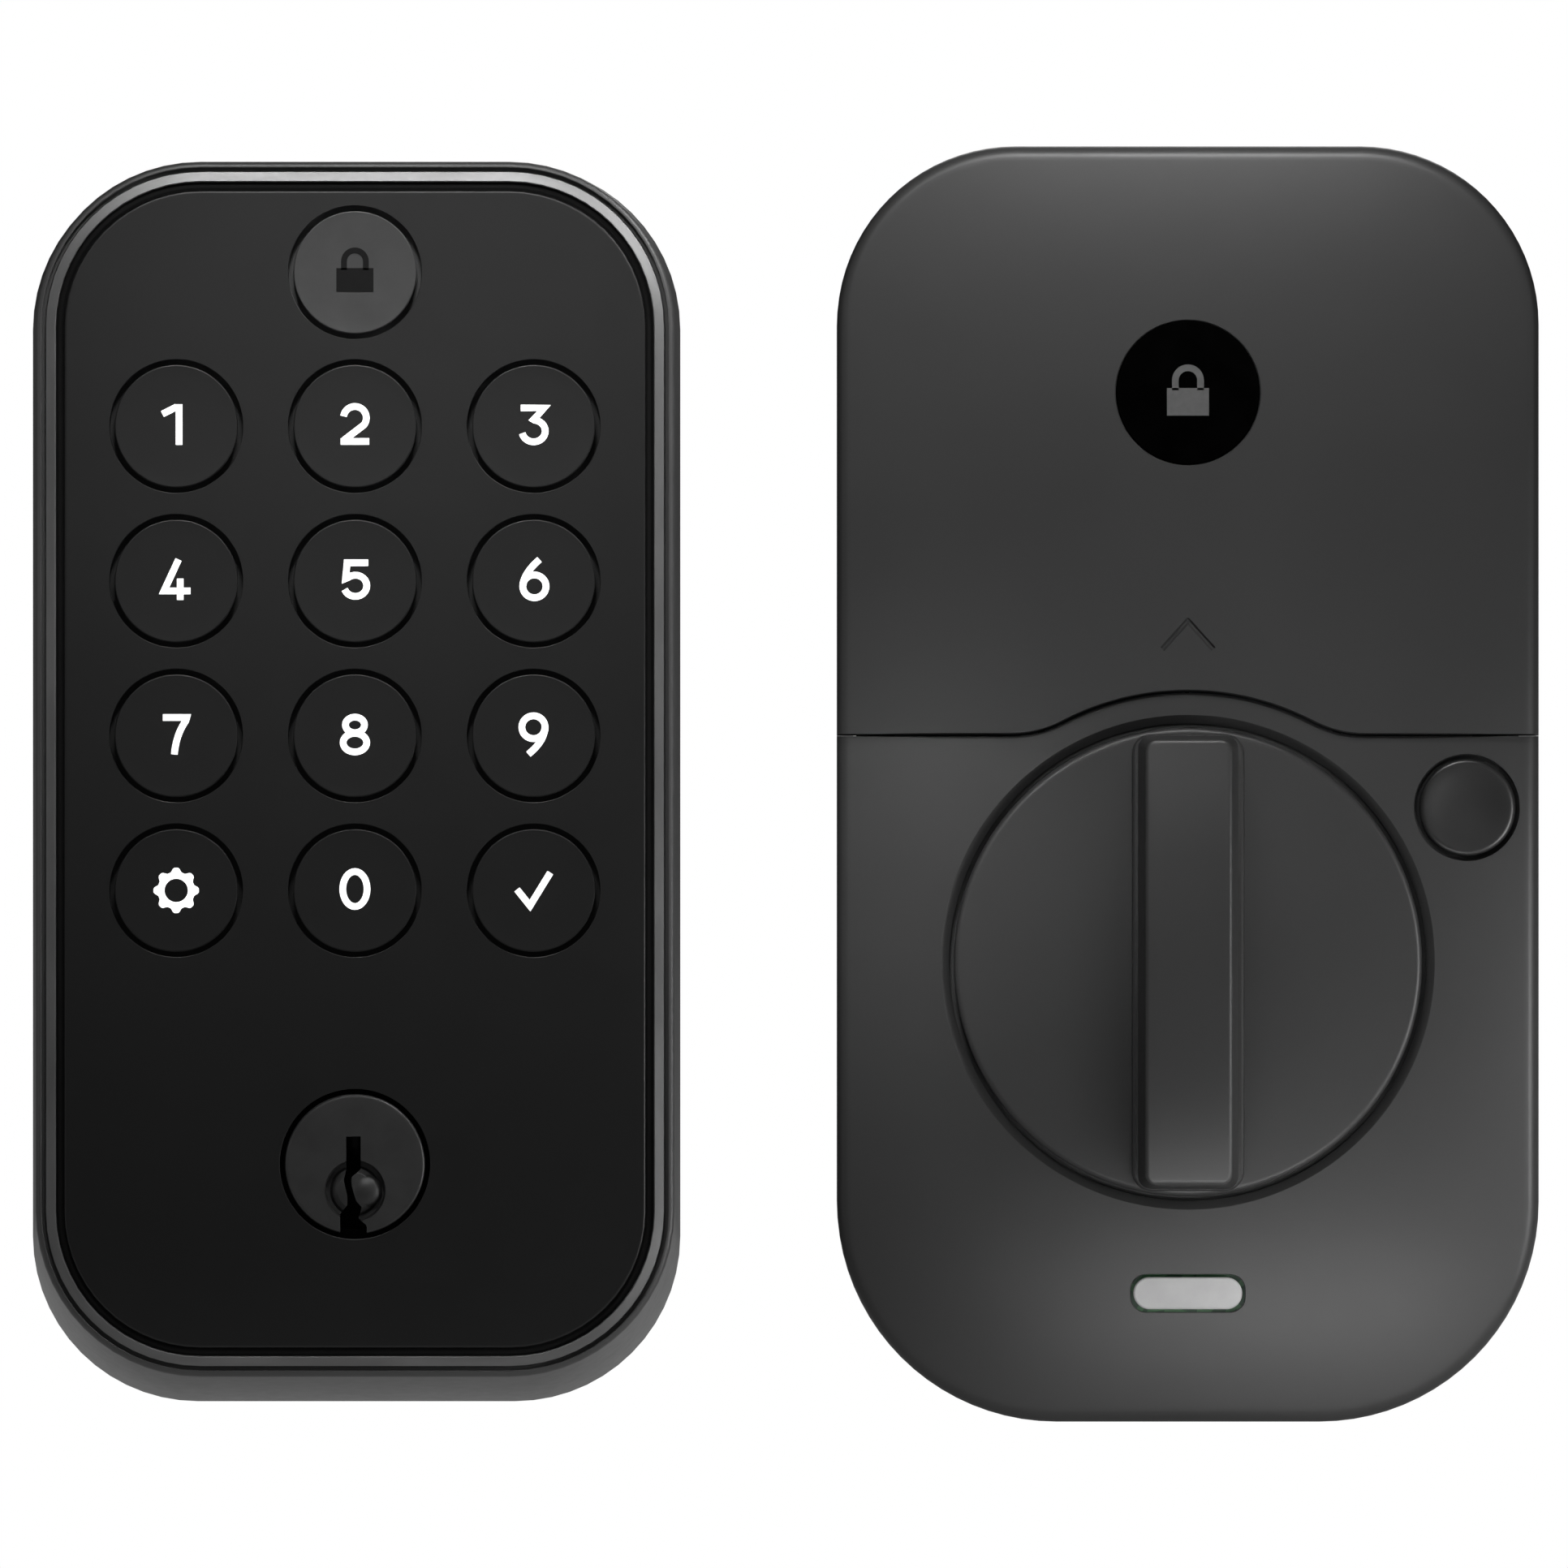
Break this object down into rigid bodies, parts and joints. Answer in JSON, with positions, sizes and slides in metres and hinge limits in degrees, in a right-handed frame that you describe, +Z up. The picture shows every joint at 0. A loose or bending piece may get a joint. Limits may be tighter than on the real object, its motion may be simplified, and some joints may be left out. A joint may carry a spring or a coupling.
{
  "type": "keypad door lock",
  "caption": "Keypad deadbolt lock with an exterior unit, a key cylinder and tailpiece, and a motorised interior unit with a round thumbturn.",
  "frame": {"origin": "on the exterior unit's door-bore collar axis, at the door face", "axes": "+Y goes into the door along the collar axis, +Z is up, both fronts face -Y"},
  "size_m": [0.1474, 0.104, 0.1245],
  "materials": {
    "casing_graphite": "satin powder coat on die-cast zinc",
    "frame_metal": "satin plated bevel",
    "seal_black": "matt black",
    "fascia_black": "hard-coated black panel",
    "key_black": "satin black moulding",
    "badge_grey": "satin grey",
    "guide_plastic": "glass-filled nylon",
    "silicone_grey": "silicone rubber",
    "board_green": "solder-masked laminate",
    "cylinder_brass": "turned",
    "plug_metal": "dark plated face",
    "pin_steel": "bright",
    "gear_steel": "sintered steel",
    "cover_plastic": "black nylon",
    "plate_zinc": "zinc plated",
    "gasket_foam": "closed-cell foam",
    "interior_plastic": "soft-touch dark grey",
    "badge_black": "black disc",
    "chassis_plastic": "glass-filled nylon",
    "tray_plastic": "black moulding",
    "cell_jacket": "printed steel jacket",
    "contact_nickel": "nickel plated spring",
    "light_frost": "frosted diffuser",
    "button_plastic": "satin black",
    "socket_white": "natural nylon",
    "dial_plastic": "soft-touch dark grey",
    "gear_acetal": "natural acetal",
    "motor_steel": "zinc plated can",
    "screw_black": "black oxide"
  },
  "bodies": {
    "root": {"exterior_housing": "casing_graphite", "bevel_frame": "frame_metal", "fascia_seal": "seal_black", "keypad_fascia": "fascia_black", "key_guide": "guide_plastic", "keypad_membrane": "silicone_grey", "keypad_circuit_board": "board_green", "cylinder_housing": "cylinder_brass", "driver_pins": "pin_steel", "gear_cover": "cover_plastic", "exterior_back_plate": "plate_zinc", "mounting_posts": "pin_steel", "exterior_screws": "screw_black", "cable_grommet": "seal_black", "door_gasket": "gasket_foam", "interior_housing": "interior_plastic", "interior_chassis": "chassis_plastic", "battery_tray": "tray_plastic", "batteries": "cell_jacket", "battery_contacts": "contact_nickel", "main_circuit_board": "board_green", "status_light_pipe": "light_frost", "cable_socket": "socket_white", "drive_motor": "motor_steel", "gear_axles": "pin_steel", "gearbox_plate": "gear_acetal", "mounting_plate": "plate_zinc", "through_bolts": "pin_steel", "interior_screws": "screw_black"},
    "plug": {"cylinder_plug": "plug_metal", "key_pins": "cylinder_brass", "plug_clip": "pin_steel", "plug_gear": "gear_steel"},
    "tailpiece": {"tailpiece_gear": "gear_steel", "tailpiece": "plate_zinc"},
    "thumbturn": {"thumbturn_dial": "dial_plastic", "thumbturn_grip": "dial_plastic", "drive_hub": "gear_acetal", "hub_clip": "pin_steel", "output_gear": "gear_acetal"},
    "idler_2": {"idler_gear_2": "gear_acetal"},
    "idler_1": {"idler_gear_1": "gear_acetal"},
    "motor_rotor": {"motor_pinion": "cylinder_brass"},
    "privacy_button": {"privacy_button": "button_plastic"},
    "battery_cover": {"battery_cover": "interior_plastic", "cover_badge": "badge_black"},
    "lock_button": {"lock_button": "badge_grey"},
    "key_0": {"key_0": "key_black"},
    "key_1": {"key_1": "key_black"},
    "key_2": {"key_2": "key_black"},
    "key_3": {"key_3": "key_black"},
    "key_4": {"key_4": "key_black"},
    "key_5": {"key_5": "key_black"},
    "key_6": {"key_6": "key_black"},
    "key_7": {"key_7": "key_black"},
    "key_8": {"key_8": "key_black"},
    "key_9": {"key_9": "key_black"},
    "key_settings": {"key_settings": "key_black"},
    "key_confirm": {"key_confirm": "key_black"}
  },
  "joints": [
    {"name": "key_0_press", "type": "slide", "parent": "root", "child": "key_0", "axis": [0, 1, 0], "range_m": [0, 0.0008], "stiffness_N_per_m": 1500},
    {"name": "key_1_press", "type": "slide", "parent": "root", "child": "key_1", "axis": [0, 1, 0], "range_m": [0, 0.0008], "stiffness_N_per_m": 1500},
    {"name": "key_2_press", "type": "slide", "parent": "root", "child": "key_2", "axis": [0, 1, 0], "range_m": [0, 0.0008], "stiffness_N_per_m": 1500},
    {"name": "key_3_press", "type": "slide", "parent": "root", "child": "key_3", "axis": [0, 1, 0], "range_m": [0, 0.0008], "stiffness_N_per_m": 1500},
    {"name": "key_4_press", "type": "slide", "parent": "root", "child": "key_4", "axis": [0, 1, 0], "range_m": [0, 0.0008], "stiffness_N_per_m": 1500},
    {"name": "key_5_press", "type": "slide", "parent": "root", "child": "key_5", "axis": [0, 1, 0], "range_m": [0, 0.0008], "stiffness_N_per_m": 1500},
    {"name": "key_6_press", "type": "slide", "parent": "root", "child": "key_6", "axis": [0, 1, 0], "range_m": [0, 0.0008], "stiffness_N_per_m": 1500},
    {"name": "key_7_press", "type": "slide", "parent": "root", "child": "key_7", "axis": [0, 1, 0], "range_m": [0, 0.0008], "stiffness_N_per_m": 1500},
    {"name": "key_8_press", "type": "slide", "parent": "root", "child": "key_8", "axis": [0, 1, 0], "range_m": [0, 0.0008], "stiffness_N_per_m": 1500},
    {"name": "key_9_press", "type": "slide", "parent": "root", "child": "key_9", "axis": [0, 1, 0], "range_m": [0, 0.0008], "stiffness_N_per_m": 1500},
    {"name": "key_settings_press", "type": "slide", "parent": "root", "child": "key_settings", "axis": [0, 1, 0], "range_m": [0, 0.0008], "stiffness_N_per_m": 1500},
    {"name": "key_confirm_press", "type": "slide", "parent": "root", "child": "key_confirm", "axis": [0, 1, 0], "range_m": [0, 0.0008], "stiffness_N_per_m": 1500},
    {"name": "lock_button_press", "type": "slide", "parent": "root", "child": "lock_button", "axis": [0, 1, 0], "range_m": [0, 0.0008], "stiffness_N_per_m": 1500},
    {"name": "privacy_press", "type": "slide", "parent": "root", "child": "privacy_button", "axis": [0, 1, 0], "range_m": [0, 0.0008], "stiffness_N_per_m": 1500},
    {"name": "plug_turn", "type": "hinge", "parent": "root", "child": "plug", "pos_m": [0, 0, -0.0072], "axis": [0, 1, 0], "range_deg": [-90, 90]},
    {"name": "tailpiece_turn", "type": "hinge", "parent": "root", "child": "tailpiece", "pos_m": [0, 0, 0], "axis": [0, 1, 0], "range_deg": [-90, 90]},
    {"name": "thumbturn_turn", "type": "hinge", "parent": "root", "child": "thumbturn", "pos_m": [0.08134, 0, 0.01254], "axis": [0, 1, 0], "range_deg": [-90, 90]},
    {"name": "idler_2_turn", "type": "hinge", "parent": "root", "child": "idler_2", "pos_m": [0.06897, 0, 0.00017], "axis": [0, 1, 0], "range_deg": [-360, 360]},
    {"name": "idler_1_turn", "type": "hinge", "parent": "root", "child": "idler_1", "pos_m": [0.08022, 0, -0.00633], "axis": [0, 1, 0], "range_deg": [-1200, 1200]},
    {"name": "motor_turn", "type": "hinge", "parent": "root", "child": "motor_rotor", "pos_m": [0.09204, 0, -0.00842], "axis": [0, 1, 0], "range_deg": [-3600, 3600]},
    {"name": "battery_cover_slide", "type": "slide", "parent": "root", "child": "battery_cover", "axis": [0, 0, 1], "range_m": [0, 0.06]}
  ],
  "couplings": [
    {"joint": "tailpiece_turn", "follows": "plug_turn", "ratio": -1},
    {"joint": "idler_2_turn", "follows": "thumbturn_turn", "ratio": -4},
    {"joint": "idler_1_turn", "follows": "thumbturn_turn", "ratio": 13.333},
    {"joint": "motor_turn", "follows": "thumbturn_turn", "ratio": -40}
  ]
}
